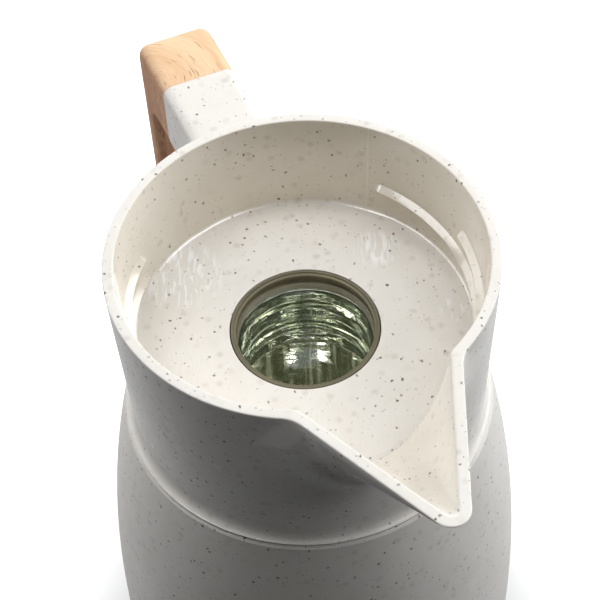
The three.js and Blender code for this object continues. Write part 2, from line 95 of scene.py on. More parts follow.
def evenRows(points, spacing):  # extra points, so that no stretch of a closed outline is longer than spacing
    rows = []
    for i, (r, z) in enumerate(points):
        nextR, nextZ = points[(i + 1) % len(points)]
        parts = max(1, ceil(hypot(nextR - r, nextZ - z) / spacing))
        rows += [(r + (nextR - r) * s / parts, z + (nextZ - z) * s / parts) for s in range(parts)]
    return rows


# Shapes and pieces

def wholeOf(bm):
    return bm.verts[:] + bm.edges[:] + bm.faces[:]


def vertsOf(geometry):
    return [g for g in geometry if isinstance(g, bmesh.types.BMVert)]


def spunShape(outline, columns, closed=True):  # one sector is spun, and then its copies round the axis
    sectors = 16
    sector = 2 * pi / sectors
    bm = bmesh.new()
    verts = [bm.verts.new((r, 0, z)) for r, z in outline]
    edges = [bm.edges.new((verts[i - 1], verts[i])) for i in range(0 if closed else 1, len(verts))]
    bmesh.ops.spin(bm, geom=verts + edges, angle=sector, steps=columns // sectors, **roundAxis)
    bmesh.ops.spin(
        bm, geom=wholeOf(bm), angle=2 * pi - sector, steps=sectors - 1, use_duplicate=True, **roundAxis)
    return bm


def helixShape(section, start, sweep, lead, steps):  # a section drawn round the axis and down
    bm = bmesh.new()
    turn = radians(start)
    face = bm.faces.new([bm.verts.new((r * cos(turn), r * sin(turn), z)) for r, z in section])
    drop = (0, 0, -lead * sweep / 360 / steps)
    bmesh.ops.spin(bm, geom=[face], angle=-radians(sweep), steps=steps, dvec=drop, **roundAxis)
    return bm


def cleaned(bm):
    bmesh.ops.remove_doubles(bm, verts=bm.verts, dist=mergeDistance)
    bmesh.ops.recalc_face_normals(bm, faces=bm.faces)
    return bm


def shapeObject(name, bm):  # from millimetres to metres
    cleaned(bm)
    bmesh.ops.scale(bm, vec=(millimetre,) * 3, verts=bm.verts)
    mesh = bpy.data.meshes.new(name)
    bm.to_mesh(mesh)
    bm.free()
    made = bpy.data.objects.new(name, mesh)
    scene.collection.objects.link(made)
    return made


def combine(piece, tools, operation):
    for tool in tools:
        boolean = piece.modifiers.new("combine", "BOOLEAN")
        boolean.operation = operation
        boolean.solver = "MANIFOLD"
        boolean.object = tool
    graph = bpy.context.evaluated_depsgraph_get()
    mesh = bpy.data.meshes.new_from_object(piece.evaluated_get(graph))
    piece.modifiers.clear()
    piece.data = mesh
    for tool in tools:
        bpy.data.objects.remove(tool)


def dress(piece, material, body, slotName, *nodes, sharp=32):
    mesh = piece.data
    mesh.name = piece.name
    mesh.polygons.foreach_set("use_smooth", [True] * len(mesh.polygons))
    mesh.set_sharp_from_angle(angle=radians(sharp))
    mesh.materials.clear()
    mesh.materials.append(material)
    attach(piece, body)
    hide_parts(*nodes)
    print("made", piece.name, len(mesh.polygons), "faces")
    return piece


# Materials. In the settings a noise is its scale, detail, roughness and bend, a share or keep is a range
# and what it is spread to, and a bump is its strength and its depth in metres.

def newMaterial(name):
    material = bpy.data.materials.new(name)
    material.use_nodes = True
    tree = material.node_tree
    return material, tree, tree.nodes["Principled BSDF"]


def setInputs(tree, node, inputs):
    for key, value in inputs.items():
        if isinstance(value, bpy.types.NodeSocket):
            tree.links.new(value, node.inputs[key])
        else:
            node.inputs[key].default_value = value
    return node


def addNode(tree, kind, inputs=None, **settings):
    node = tree.nodes.new(kind)
    for key, value in settings.items():
        setattr(node, key, value)
    return setInputs(tree, node, inputs or {})


def mixColours(tree, share, first, second, blend="MIX"):
    node = addNode(tree, "ShaderNodeMix", {0: share, 6: first, 7: second}, data_type="RGBA", blend_type=blend)
    return node.outputs[2]


def spread(tree, value, fromLow, fromHigh, toLow, toHigh):
    return addNode(tree, "ShaderNodeMapRange", {
        "Value": value, "From Min": fromLow, "From Max": fromHigh, "To Min": toLow, "To Max": toHigh,
    }).outputs[0]


def rising(tree, value, start, width):
    return spread(tree, value, start, start + width, 0, 1)


def falling(tree, value, start, width):
    return spread(tree, value, start, start + width, 1, 0)


def noise(tree, place, scale, detail=2.0, rough=0.5, bend=0.0, output=0):
    return addNode(tree, "ShaderNodeTexNoise", {
        "Vector": place, "Scale": scale, "Detail": detail, "Roughness": rough, "Distortion": bend,
    }).outputs[output]


def arithmetic(tree, operation, first, second=0.0):
    return addNode(tree, "ShaderNodeMath", {0: first, 1: second}, operation=operation).outputs[0]


def product(tree, first, *others):
    for other in others:
        first = arithmetic(tree, "MULTIPLY", first, other)
    return first


def vectorMath(tree, operation, first, second):
    return addNode(tree, "ShaderNodeVectorMath", {0: first, 1: second}, operation=operation).outputs


def along(tree, place, axis):
    return vectorMath(tree, "DOT_PRODUCT", place, axis)["Value"]


def axesOf(tree, place):
    return addNode(tree, "ShaderNodeSeparateXYZ", {0: place}).outputs[:3]


def facingUp(tree):
    return axesOf(tree, addNode(tree, "ShaderNodeTexCoord").outputs["Normal"])[2]


def bump(tree, height, strength, distance, under=None):
    inputs = {"Height": height, "Strength": strength, "Distance": distance}
    if under:
        inputs["Normal"] = under
    return addNode(tree, "ShaderNodeBump", inputs).outputs[0]


def objectPlace(tree, scale=(1, 1, 1), turn=(0, 0, 0), kind="POINT"):
    place = addNode(tree, "ShaderNodeTexCoord").outputs["Object"]
    inputs = {"Vector": place, "Scale": scale, "Rotation": turn}
    return addNode(tree, "ShaderNodeMapping", inputs, vector_type=kind).outputs[0]


speckSettings = {
    "base": (0.85, 0.818, 0.766, 1),
    "cloud": (0.76, 0.715, 0.65, 1),
    "smudge": (0.52, 0.46, 0.40, 1),
    "fibre": (0.11, 0.085, 0.07, 1),
    "clouds": (55, 4, 0.65, 0.3),
    "cloudShare": (0.3, 0.85, 0, 0.8),
    "layers": [  # cells per metre, dot radius in cells, soft edge, strength, colour
        (135, 0.22, 0.20, 0.30, "smudge"),
        (230, 0.32, 0.30, 0.50, "smudge"),
        (620, 0.17, 0.10, 0.62, "fibre"),
        (350, 0.18, 0.09, 0.92, "fibre"),
    ],
    "dotKeep": (0.25, 0.7, 0, 1),  # some dots are fainter, some don't show
    "wobble": (900, 1),  # makes the dots ragged
    "wobbleShift": (0.0011, 0.0011, 0.0011),
    "glossPatches": (60, 3),
    "glossFrom": (0.3, 0.7),
    "glossSpan": (-0.05, 0.06),
    "peel": (420, 1),
    "peelBump": (0.06, 0.0004),
    "flow": (95, 1, 0.5, 0.8),
    "flowStretch": (1, 1, 0.35),
    "flowBump": (0.10, 0.0012),
    "refraction": 1.49,
    "shine": 0.3,
}

bowlSettings = {  # metres, on the finished piece
    "radius": 0.0501,
    "floor": 0.1834,
    "floorBelow": 0.0008,
    "floorEdge": 0.0004,
    "maskEdge": 0.0002,
    "shine": 0.6,
    "polish": 0.11,
    "wallPaintedWarmShade": (0.955, 0.925, 0.862, 1),  # painted warm shade on the bowl's wall, standing in for light that passes through the plastic
    # painted warmth on the spout's ramp, a lighter share of the same painted tint
    "rampPaintedWarmth": (1, 0.985, 0.95, 1),
    "rampFacing": (0.01, 0.03),
    "rimBelow": 0.2144,
    "spoutFrom": 0.030,
    "spoutEdge": 0.002,
    "streaks": (900, 1, 0.5, 0.6),
    "streakTurn": 68.8,
    "streakStretch": (1, 6, 1),
    "streakBump": (0.8, 0.00012),
    "glintZones": [  # patches of painted glints on the floor: centre, radius and strength
        ((-0.033, -0.025, 0.1834), 0.014, 0.75),
        ((-0.018, 0.031, 0.1834), 0.008, 0.6),
        ((0.012, 0.041, 0.1834), 0.005, 0.6),
    ],
    "glintCore": 0.6,
    "glintKeep": (0.52, 0.62, 0, 1),
    "wetShine": 1.7,
    "wetRoughness": 0.05,
    "wetEdge": 0.6,
    "filletFrom": 0.0468,
    "filletTop": 0.1846,
    "mouldLine": 134,  # degrees round the axis
    "mouldLineWidth": (0.00008, 0.00022),
    "mouldLineFrom": (0.040, 0.042),
    # the mould line is real; its paleness is a painted highlight
    "mouldLineHighlight": 0.45,
}


def bowlMasks(tree, place):  # the bowl with the spout's ramp, its flat floor, the floor's fillet, the ramp
    s = bowlSettings
    edge = s["maskEdge"]
    x, y, z = axesOf(tree, place)
    square = arithmetic(tree, "ADD", arithmetic(tree, "POWER", x, 2.0), arithmetic(tree, "POWER", y, 2.0))
    across = arithmetic(tree, "SQRT", square)
    within = falling(tree, across, s["radius"], edge)
    ramp = product(
        tree, spread(tree, facingUp(tree), *s["rampFacing"], 0, 1), falling(tree, z, s["rimBelow"], edge),
        rising(tree, x, s["spoutFrom"], s["spoutEdge"]))
    above = rising(tree, z, s["floor"] - s["floorBelow"], s["floorEdge"])
    bowl = product(tree, arithmetic(tree, "MAXIMUM", within, ramp), above)
    flat = product(tree, bowl, falling(tree, z, s["floor"] + edge, edge))
    fillet = product(tree, rising(tree, across, s["filletFrom"], edge), falling(
        tree, z, s["filletTop"], edge))
    return bowl, flat, product(tree, bowl, fillet), ramp


def mouldLine(tree, place):
    turn = radians(bowlSettings["mouldLine"])
    outward = along(tree, place, (cos(turn), sin(turn), 0))
    aside = along(tree, place, (-sin(turn), cos(turn), 0))
    line = spread(tree, arithmetic(tree, "ABSOLUTE", aside), *bowlSettings["mouldLineWidth"], 1, 0)
    return product(tree, line, spread(tree, outward, *bowlSettings["mouldLineFrom"], 0, 1))


# painted glints: streaks of the floor coloured towards white where lamp glints would show
def paintedGlints(tree, place, streaks):
    glints = 0.0
    for centre, radius, strength in bowlSettings["glintZones"]:
        away = vectorMath(tree, "DISTANCE", place, centre)["Value"]
        zone = spread(tree, away, bowlSettings["glintCore"] * radius, radius, strength, 0)
        glints = arithmetic(tree, "MAXIMUM", glints, zone)
    return product(tree, glints, spread(tree, streaks, *bowlSettings["glintKeep"]))


def polishBowl(tree, shader, place, colour, roughness, flow):
    s = bowlSettings
    inside, flat, fillet, ramp = bowlMasks(tree, place)
    onWall = arithmetic(tree, "SUBTRACT", inside, flat)
    runPlace = objectPlace(tree, s["streakStretch"], (0, 0, radians(s["streakTurn"])), "TEXTURE")
    streaks = noise(tree, runPlace, *s["streaks"])  # shallow runs left in the floor; they also break up the painted glints
    # painted glints on the flat floor
    glints = product(tree, paintedGlints(tree, place, streaks), flat)
    # the mould line is real; its paleness is a painted highlight
    line = product(tree, mouldLine(tree, place), onWall, s["mouldLineHighlight"])
    colour = mixColours(tree, arithmetic(tree, "MAXIMUM", glints, line), colour, white)
    # painted warm shade: the wall's tint, lighter on the ramp
    tint = mixColours(tree, ramp, s["wallPaintedWarmShade"], s["rampPaintedWarmth"])
    setInputs(tree, shader, {
        "Specular IOR Level": spread(tree, inside, 0, 1, speckSettings["shine"], s["shine"]),
        "Coat Weight": product(tree, fillet, s["wetEdge"]),
        "Coat IOR": s["wetShine"],
        "Coat Roughness": s["wetRoughness"],
    })
    # the wall and the ramp take the painted warm shade
    colour = mixColours(tree, onWall, colour, tint, "MULTIPLY")
    roughness = arithmetic(tree, "SUBTRACT", roughness, spread(tree, inside, 0, 1, 0, s["polish"]))
    return colour, roughness, bump(tree, product(tree, streaks, flat), *s["streakBump"], flow)


def speckledPlastic(name, gloss, bowl=False):
    s = speckSettings
    material, tree, shader = newMaterial(name)
    place = objectPlace(tree)
    wobble = noise(tree, place, *s["wobble"], output="Color")
    ragged = vectorMath(tree, "ADD", place, vectorMath(tree, "MULTIPLY", wobble, s["wobbleShift"])[0])[0]
    cloud = spread(tree, noise(tree, place, *s["clouds"]), *s["cloudShare"])
    colour = mixColours(tree, cloud, s["base"], s["cloud"])
    for cells, radius, soft, strength, tint in s["layers"]:
        dots = addNode(tree, "ShaderNodeTexVoronoi", {"Vector": ragged, "Scale": cells})
        keep = addNode(tree, "ShaderNodeSeparateColor", {0: dots.outputs["Color"]}).outputs[0]
        share = spread(tree, dots.outputs["Distance"], radius - soft, radius, strength, 0)
        colour = mixColours(tree, product(tree, share, spread(tree, keep, *s["dotKeep"])), colour, s[tint])
    glossTo = [gloss + span for span in s["glossSpan"]]
    roughness = spread(tree, noise(tree, place, *s["glossPatches"]), *s["glossFrom"], *glossTo)
    peel = bump(tree, noise(tree, place, *s["peel"]), *s["peelBump"])
    flow = bump(tree, noise(tree, objectPlace(tree, s["flowStretch"]), *s["flow"]), *s["flowBump"], peel)
    setInputs(tree, shader, {"IOR": s["refraction"], "Specular IOR Level": s["shine"]})
    if bowl:
        colour, roughness, flow = polishBowl(tree, shader, place, colour, roughness, flow)
    setInputs(tree, shader, {"Base Color": colour, "Roughness": roughness, "Normal": flow})
    return material


woodSettings = {
    "pale": (0.88, 0.63, 0.405, 1),
    "deep": (0.72, 0.43, 0.24, 1),
    "fleck": (0.40, 0.19, 0.09, 1),
    "side": (0.58, 0.29, 0.19, 1),  # painted shade: the sides are coloured darker and redder than the top
    "sideFacing": (0.3, 0.8),
    "sideShadeShare": (0.35, 0.65, 0.35, 0.90),
    "heart": (-0.0775, -0.0155, 0),  # the rings curve round an upright line here
    "arc": 0.022,
    "stretch": (1, 0.065, 0.065),
    "sway": (90, 2),
    "swayShift": (0.004, 0.004, 0),
    "rings": (260, 3, 0.6, 0.4),
    "ringShare": (0.38, 0.72, 0, 0.75),
    "fine": (2600, 2, 0.7),
    "fineShare": (0.48, 0.75, 0, 0.4),
    "fleckCells": 1350,
    "fleckShare": (0.10, 0.27, 0.85, 0),
    "fleckKeep": (0.1, 0.6, 0, 1),
    "roughness": (0.3, 0.7, 0.55, 0.68),
    "poreBump": (0.25, 0.0002),
    "shine": 0.12,
}


def ringPlace(tree):  # across, along and up the growth rings
    w = woodSettings
    place = objectPlace(tree)
    sway = vectorMath(tree, "MULTIPLY", noise(tree, place, *w["sway"], output="Color"), w["swayShift"])[0]
    place = vectorMath(tree, "ADD", place, sway)[0]
    x, y, z = axesOf(tree, vectorMath(tree, "SUBTRACT", place, w["heart"])[0])
    square = arithmetic(tree, "ADD", product(tree, x, x), product(tree, y, y))
    across = arithmetic(tree, "POWER", square, 0.5)
    lengthwise = product(tree, arithmetic(tree, "ARCTAN2", y, x), w["arc"])
    rings = addNode(tree, "ShaderNodeCombineXYZ", {0: across, 1: lengthwise, 2: z}).outputs[0]
    return addNode(tree, "ShaderNodeMapping", {"Vector": rings, "Scale": w["stretch"]}).outputs[0]


def beechWood(name):
    w = woodSettings
    material, tree, shader = newMaterial(name)
    grain = ringPlace(tree)
    rings = noise(tree, grain, *w["rings"])
    colour = mixColours(tree, spread(tree, rings, *w["ringShare"]), w["pale"], w["deep"])
    fine = noise(tree, grain, *w["fine"])
    colour = mixColours(tree, spread(tree, fine, *w["fineShare"]), colour, w["deep"])
    flecks = addNode(tree, "ShaderNodeTexVoronoi", {"Vector": grain, "Scale": w["fleckCells"]}).outputs
    keep = addNode(tree, "ShaderNodeSeparateColor", {0: flecks["Color"]}).outputs[1]
    share = spread(tree, flecks["Distance"], *w["fleckShare"])
    share = product(tree, share, spread(tree, keep, *w["fleckKeep"]))
    colour = mixColours(tree, share, colour, w["fleck"])
    # painted shade on the sides, broken up by the fine grain
    shadedSides = spread(tree, arithmetic(tree, "ABSOLUTE", facingUp(tree)), *w["sideFacing"], 1, 0)
    shadedSides = product(tree, shadedSides, spread(tree, fine, *w["sideShadeShare"]))
    setInputs(tree, shader, {
        "Base Color": mixColours(tree, shadedSides, colour, w["side"]),
        "Roughness": spread(tree, rings, *w["roughness"]),
        "Normal": bump(tree, arithmetic(tree, "SUBTRACT", fine, share), *w["poreBump"]),
        "Specular IOR Level": w["shine"],
    })
    return material


glassSettings = {
    "bodyBelow": (0.148, 0.156),  # heights between which the neck turns into the body
    "sways": (75, 2, 0.5, 0.5),
    "swayStretch": (1, 1, 2.2),
    "swayBump": (0.05, 0.004),
    "drips": (240, 3, 0.6, 0.4),
    "dripStretch": (1, 1, 0.10),
    "dripBump": (0.012, 0.0015),
    "neck": ((0.59, 0.64, 0.58, 1), (0.80, 0.83, 0.79, 1)),
    "neckShare": (0.35, 0.65, 0, 1),
    "body": ((0.95, 0.96, 0.90, 1), (0.80, 0.83, 0.66, 1)),
    "bodyShare": (0.4, 0.65, 0, 1),
    "streaks": (560, 2, 0.5, 0.3),
    "streakStretch": (1, 1, 0.06),
    "glow": (0.54, 0.66, 0, 0.13),  # painted glow: emission standing in for light kept between the silvered walls
    "paintedGlowColour": (0.74, 0.80, 0.52, 1),
    "haze": (0.4, 0.7, 0, 0.10),
    "roughness": 0.03,
    "silver": 0.95,
    "coat": 0.6,
    "coatRoughness": 0.02,
}


def silveredGlass(name):
    g = glassSettings
    material, tree, shader = newMaterial(name)
    height = axesOf(tree, objectPlace(tree))[2]
    low = spread(tree, height, *g["bodyBelow"], 1, 0)
    sways = noise(tree, objectPlace(tree, g["swayStretch"]), *g["sways"])
    drips = noise(tree, objectPlace(tree, g["dripStretch"]), *g["drips"])
    streaks = noise(tree, objectPlace(tree, g["streakStretch"]), *g["streaks"])
    neckTint = mixColours(tree, spread(tree, sways, *g["neckShare"]), *g["neck"])
    bodyTint = mixColours(tree, spread(tree, drips, *g["bodyShare"]), *g["body"])
    haze = product(tree, spread(tree, drips, *g["haze"]), low)
    wave = bump(tree, sways, *g["swayBump"])
    setInputs(tree, shader, {
        "Base Color": mixColours(tree, low, neckTint, bodyTint),
        # painted glow along the streaks of the lower glass
        "Emission Strength": product(tree, spread(tree, streaks, *g["glow"]), low),
        "Emission Color": g["paintedGlowColour"],
        "Roughness": arithmetic(tree, "ADD", haze, g["roughness"]),
        "Normal": bump(tree, product(tree, drips, low), *g["dripBump"], wave),
        "Metallic": g["silver"],
        "Coat Weight": g["coat"],
        "Coat Roughness": g["coatRoughness"],
    })
    return material


rubberSettings = {
    "grain": (900, 3, 0.6),
    "grainBump": (0.12, 0.0002),
    "patches": (70, 3),
    "patchShare": (0.35, 0.7, 0, 1),
    "glossFrom": (0.3, 0.7),
    "glossSpan": (-0.06, 0.06),
    "ringEdge": 0.0002,
    "seal": {
        "tones": ((0.172, 0.152, 0.092, 1), (0.134, 0.119, 0.071, 1)),
        "roughness": 0.45,
        "ringTop": 0.1796,  # a paler ring up to this height
        "ring": (0.44, 0.42, 0.32, 1),
    },
    "grey": {
        "tones": ((0.055, 0.055, 0.052, 1), (0.035, 0.035, 0.034, 1)),
        "roughness": 0.7,
    },
}


def softRubber(name, kind):
    r = rubberSettings
    s = r[kind]
    material, tree, shader = newMaterial(name)
    place = objectPlace(tree)
    patches = noise(tree, place, *r["patches"])
    colour = mixColours(tree, spread(tree, patches, *r["patchShare"]), *s["tones"])
    if "ring" in s:
        below = falling(tree, axesOf(tree, place)[2], s["ringTop"] - r["ringEdge"], r["ringEdge"])
        colour = mixColours(tree, below, colour, s["ring"])
    glossTo = [s["roughness"] + span for span in r["glossSpan"]]
    setInputs(tree, shader, {
        "Base Color": colour,
        "Roughness": spread(tree, patches, *r["glossFrom"], *glossTo),
        "Normal": bump(tree, noise(tree, place, *r["grain"]), *r["grainBump"]),
    })
    return material


hiddenSettings = {
    "felt": {
        "stretch": (1, 1, 0.2),
        "marks": (3000, 3, 0.7, 1),
        "tones": ((0.66, 0.61, 0.52, 1), (0.50, 0.46, 0.39, 1)),
        "roughness": (0.85, 1),
        "bump": (0.5, 0.0002),
        "metallic": 0.0,
    },
    "steel": {
        "stretch": (1, 1, 0.05),
        "marks": (2500, 3, 0.6),
        "tones": ((0.62, 0.63, 0.64, 1), (0.5, 0.5, 0.5, 1)),
        "roughness": (0.22, 0.38),
        "bump": (0.08, 0.0001),
        "metallic": 1.0,
    },
    "marksFrom": (0.3, 0.7),
}


def markedFinish(name, kind):  # fibres of the felt, scratches of the steel
    s = hiddenSettings[kind]
    span = hiddenSettings["marksFrom"]
    material, tree, shader = newMaterial(name)
    marks = noise(tree, objectPlace(tree, s["stretch"]), *s["marks"])
    setInputs(tree, shader, {
        "Base Color": mixColours(tree, spread(tree, marks, *span, 0, 1), *s["tones"]),
        "Roughness": spread(tree, marks, *span, *s["roughness"]),
        "Normal": bump(tree, marks, *s["bump"]),
        "Metallic": s["metallic"],
    })
    return material


collarFinish = speckledPlastic("speckled_collar", 0.22, bowl=True)
casingFinish = speckledPlastic("speckled_casing", 0.33)
woodFinish = beechWood("beech")
glassFinish = silveredGlass("silvered_glass")
sealFinish = softRubber("taupe_silicone", "seal")
rubberFinish = softRubber("grey_rubber", "grey")
feltFinish = markedFinish("pressed_felt", "felt")
steelFinish = markedFinish("plated_steel", "steel")
print("materials ready")


# Camera

cameraSettings = {
    "azimuth": 68.8,
    "elevation": 50.93,
    "roll": -3.17,
    "target": (-0.380, -0.979, 195.61),  # millimetres
    "distance": 424,
    "lens": 92.72,
    "nearest": 0.01,
}


def placeCamera():
    azimuth = radians(cameraSettings["azimuth"])
    elevation = radians(cameraSettings["elevation"])
    roll = radians(cameraSettings["roll"])
    back = Vector((cos(elevation) * sin(azimuth), -cos(elevation) * cos(azimuth), sin(elevation)))
    right = Vector((cos(azimuth), sin(azimuth), 0))
    up = back.cross(right)
    across = cos(roll) * right + sin(roll) * up
    upright = cos(roll) * up - sin(roll) * right
    eye = (Vector(cameraSettings["target"]) + back * cameraSettings["distance"]) * millimetre
    camera = bpy.data.objects.new("camera", bpy.data.cameras.new("camera"))
    camera.data.lens = cameraSettings["lens"]
    camera.data.clip_start = cameraSettings["nearest"]
    camera.matrix_world = Matrix.Translation(eye) @ Matrix((across, upright, back)).transposed().to_4x4()
    scene.collection.objects.link(camera)
    scene.camera = camera


placeCamera()
print("camera placed")


# Handle stubs, shared by the collar and the casing

gripLow, gripHigh = boxOf("wood_grip")
collarLow, collarHigh = boxOf("pouring_collar")
shellLow, shellHigh = boxOf("body_shell")
plugBoxes = {"upper": boxOf("upper_screw_plug"), "lower": boxOf("lower_screw_plug")}
lowerArmDepth = 20
jointGap = 0.06

handle = {
    "width": gripHigh.y - gripLow.y,
    "upperTop": gripHigh.z,
    "upperBottom": plugBoxes["upper"][0].z,
    "lowerTop": gripLow.z + lowerArmDepth,
    "lowerBottom": gripLow.z,
    "back": gripLow.x,
    "stubEnd": collarLow.x,
    "gripEnd": collarLow.x - jointGap,
    "gripSpare": 12,  # cut off again, so that the edges run straight into the joint
    "edge": 3.2,
    "stubSegments": 10,
    "gripSegments": 8,
    "faceCuts": 16,
    "outerCorner": 6,
    "innerCorner": 4,
    "cornerSteps": 10,
    "thickness": 9.5,
    "seamEdge": 0.25,
    "socketWall": 4.2,
    "upperSocket": 15.15,
    "lowerSocket": 9.15,
    "tongueWall": 4.5,
    "upperTongue": 14.85,
    "lowerTongue": 8.85,
    "sharp": 40,
}

plug = {
    "sides": 48,
    "radius": 2.8,
    "edge": 0.3,
    "edgeSegments": 4,
    "holeRadius": 3.1,
    "holeDepth": 8,
    "holeDrop": 1.3,  # middle of the cut below the plug's face
}


def armStub(bottom, top, reach, socket):  # from the joint to a circle inside the wall
    half = handle["width"] / 2
    bm = bmesh.new()
    corners = [(-half, bottom), (half, bottom), (half, top), (-half, top)]
    verts = [bm.verts.new((handle["stubEnd"], y, z)) for y, z in corners]
    bm.faces.new(verts)
    bmesh.ops.bevel(
        bm, geom=verts, offset=handle["edge"], segments=handle["stubSegments"], profile=0.5,
        affect="VERTICES", material=-1)
    flat = [e for e in bm.edges if e.calc_length() > 2 * handle["edge"]]
    bmesh.ops.subdivide_edges(bm, edges=flat, cuts=handle["faceCuts"])
    made = bmesh.ops.extrude_face_region(bm, geom=bm.faces[:], use_keep_orig=True)["geom"]
    for vert in vertsOf(made):
        y = vert.co.y
        vert.co.x = -sqrt(reach ** 2 - y * y)
    cleaned(bm)
    mouth = [f for f in bm.faces if all(abs(v.co.x - handle["stubEnd"]) < tiny for v in f.verts)]
    bmesh.ops.inset_region(bm, faces=mouth, thickness=handle["seamEdge"], depth=0)
    inner = [f for f in mouth if f.is_valid]
    bmesh.ops.inset_region(bm, faces=inner, thickness=handle["socketWall"] - handle["seamEdge"], depth=0)
    inner = [f for f in inner if f.is_valid]
    for vert in {v for f in inner for v in f.verts}:
        vert.co.x += socket
    return bm


def roundBar(radius, depth):
    bm = bmesh.new()
    bmesh.ops.create_cone(
        bm, cap_ends=True, segments=plug["sides"], radius1=radius, radius2=radius, depth=depth)
    return bm


def plugCutter(name):  # the screw's way in, from the underside of an arm
    low, high = plugBoxes[name]
    bm = roundBar(plug["holeRadius"], plug["holeDepth"])
    bmesh.ops.translate(bm, verts=bm.verts, vec=((low.x + high.x) / 2, 0, low.z - plug["holeDrop"]))
    return bm


# Pouring collar: spun round the axis, then drawn out to the spout

collar = {
    "columns": 640,
    "crowding": 0.70,  # columns gather towards the spout
    "rowSpacing": 1.1,
    "cornerSteps": 3,
    "rimTop": collarHigh.z,
    "rimRadius": 53,
    "waistRadius": 51.6,
    "seamHeight": 155.4,
    "seamRadius": 53.8,
    "seamEdge": 0.3,
    "lip": 0.6,
    "flareHeight": 5.4,
    "flarePull": 0.5,
    "wall": 3,
    "wallMargin": 1,
    "stubSink": 1.5,
    "rimEdge": 0.4,
    "bowlDepth": 31.6,
    "bowlRimRadius": 50,
    "bowlFloorRadius": 48.2,
    "bowlFillet": 1.2,
    "floorThickness": 3,
    "mouthRadius": 21.3,
    "mouthEdge": 0.25,
    "socketRadius": 24.9,
    "socketWall": 2.5,
    "socketDepth": 12.4,
    "socketEdge": 0.3,
    "spigotBottom": collarLow.z,
    "spigotRadius": 50.7,
    "spigotBore": 47.9,
    "spigotEdge": 0.6,
    "grooveMiddle": 149.7,
    "grooveHalf": 1.1,
    "grooveDepth": 1.4,
}

spout = {
    "tip": collarHigh.x,
    "tipRadius": 5,
    "halfAngle": 24.7,
    "halfTurn": 0.7,  # radians to each side of the tip that the spout may reach
    "slope": 0.778,
    "outerSlope": 0.755,
    "lipDepth": 0.6,
    "sectionPower": 1.5,
    "rimBlend": 2.0,
    "outerBlend": 12.0,
    "blendDepth": 14.0,  # the outer blend grows down to this depth below the rim
    "innerBlend": 0.8,
    "rampEase": 2.0,
    "halvings": 22,
    "closeness": 1e-6,
}

lidRibs = {
    "lead": 27,
    "height": 1.6,
    "depth": 2.2,
    "root": 0.7,
    "topStep": 0.1,
    "lowStep": 0.6,
    "edge": 0.15,
    "stepsPerDegree": 2,
    "endTaper": 2.0,  # degrees over which the ends are rounded off
    "endSize": 0.3,
    "ribs": [(130.5, 85, 10.7), (91.5, 46, 15.8)],  # high end and sweep in degrees, height over the floor
}


def collarOutline():
    c = collar
    rim = c["rimTop"]
    floor = rim - c["bowlDepth"]
    under = floor - c["floorThickness"]
    seam = c["seamHeight"]
    skirtTop = seam + c["flareHeight"]
    lipTop = seam + c["lip"]
    waist = c["waistRadius"]
    socketOuter = c["socketRadius"] + c["socketWall"]
    socketBottom = under - c["socketDepth"]
    skirtRadius = waist - c["wall"]
    groove = c["spigotRadius"] - c["grooveDepth"]
    grooveLow = c["grooveMiddle"] - c["grooveHalf"]
    grooveHigh = c["grooveMiddle"] + c["grooveHalf"]
    inside = softCorners([
        (c["mouthRadius"], floor, c["mouthEdge"]),
        (c["mouthRadius"], under, 0),
        (c["socketRadius"], under, 0),
        (c["socketRadius"], socketBottom, c["socketEdge"]),
        (socketOuter, socketBottom, c["socketEdge"]),
        (socketOuter, under, 0),
        (skirtRadius, under, 0),
        (skirtRadius, skirtTop, 0),
        (c["spigotBore"], seam, 0),
        (c["spigotBore"], c["spigotBottom"], c["seamEdge"]),
        (c["spigotRadius"], c["spigotBottom"], c["spigotEdge"]),
        (c["spigotRadius"], grooveLow, 0),
        (groove, grooveLow, 0),
        (groove, grooveHigh, 0),
        (c["spigotRadius"], grooveHigh, 0),
        (c["spigotRadius"], seam, 0),
        (c["seamRadius"], seam, c["seamEdge"]),
        (c["seamRadius"], lipTop, 0),
        (c["bowlFloorRadius"], floor, 0),
    ], c["cornerSteps"])[:-2]  # the last two only give the corners beside them their directions
    fillet = c["bowlFillet"]
    edge = c["rimEdge"]
    wallRows = evenRows([
        *bezierPoints((c["seamRadius"], lipTop), (waist, lipTop + c["flarePull"]), (waist, skirtTop)),
        *arcPoints(c["rimRadius"] - edge, rim - edge, edge, 0, 90),
        *arcPoints(c["bowlRimRadius"] + edge, rim - edge, edge, 90, 180),
        *arcPoints(c["bowlFloorRadius"] - fillet, floor + fillet, fillet, 0, -90),
    ], c["rowSpacing"])
    last = next(i for i, (r, z) in enumerate(wallRows) if abs(z - floor) < tiny)
    return wallRows[:last + 1] + inside


def softMax(first, second, width):
    share = min(1, max(0, 0.5 + 0.5 * (first - second) / width))
    return second + (first - second) * share + width * share * (1 - share)


def spoutHalfWidth(x, inset):  # plan of the spout: straight sides and a round tip
    radius = spout["tipRadius"] - inset
    centre = spout["tip"] - spout["tipRadius"]
    angle = radians(spout["halfAngle"])
    touchX = centre + radius * sin(angle)
    touchY = radius * cos(angle)
    if x <= touchX:
        return touchY + (touchX - x) * tan(angle)
    return sqrt(max(0, radius ** 2 - (x - centre) ** 2))


def spoutHalfAt(x, depth, inner):  # half width at a depth below the rim, in its rounded V section
    if inner:
        inset = collar["wall"]
        full = spout["slope"] * (spout["tip"] - inset - x)
    else:
        inset = 0
        depth -= spout["lipDepth"]
        full = spout["outerSlope"] * (spout["tip"] - x)
    half = spoutHalfWidth(x, inset)
    if depth <= 0:
        return half
    if full <= depth:
        return 0
    return half * sqrt(1 - (depth / full) ** spout["sectionPower"])


def spoutRadius(azimuth, depth, inner):  # how far the spout reaches from the axis
    low, high = 0, spout["tip"] + 1
    for _ in range(spout["halvings"]):
        middle = (low + high) / 2
        aside = middle * sin(abs(azimuth)) + spout["closeness"]
        if spoutHalfAt(middle * cos(azimuth), depth, inner) > aside:
            low = middle
        else:
            high = middle
    return low


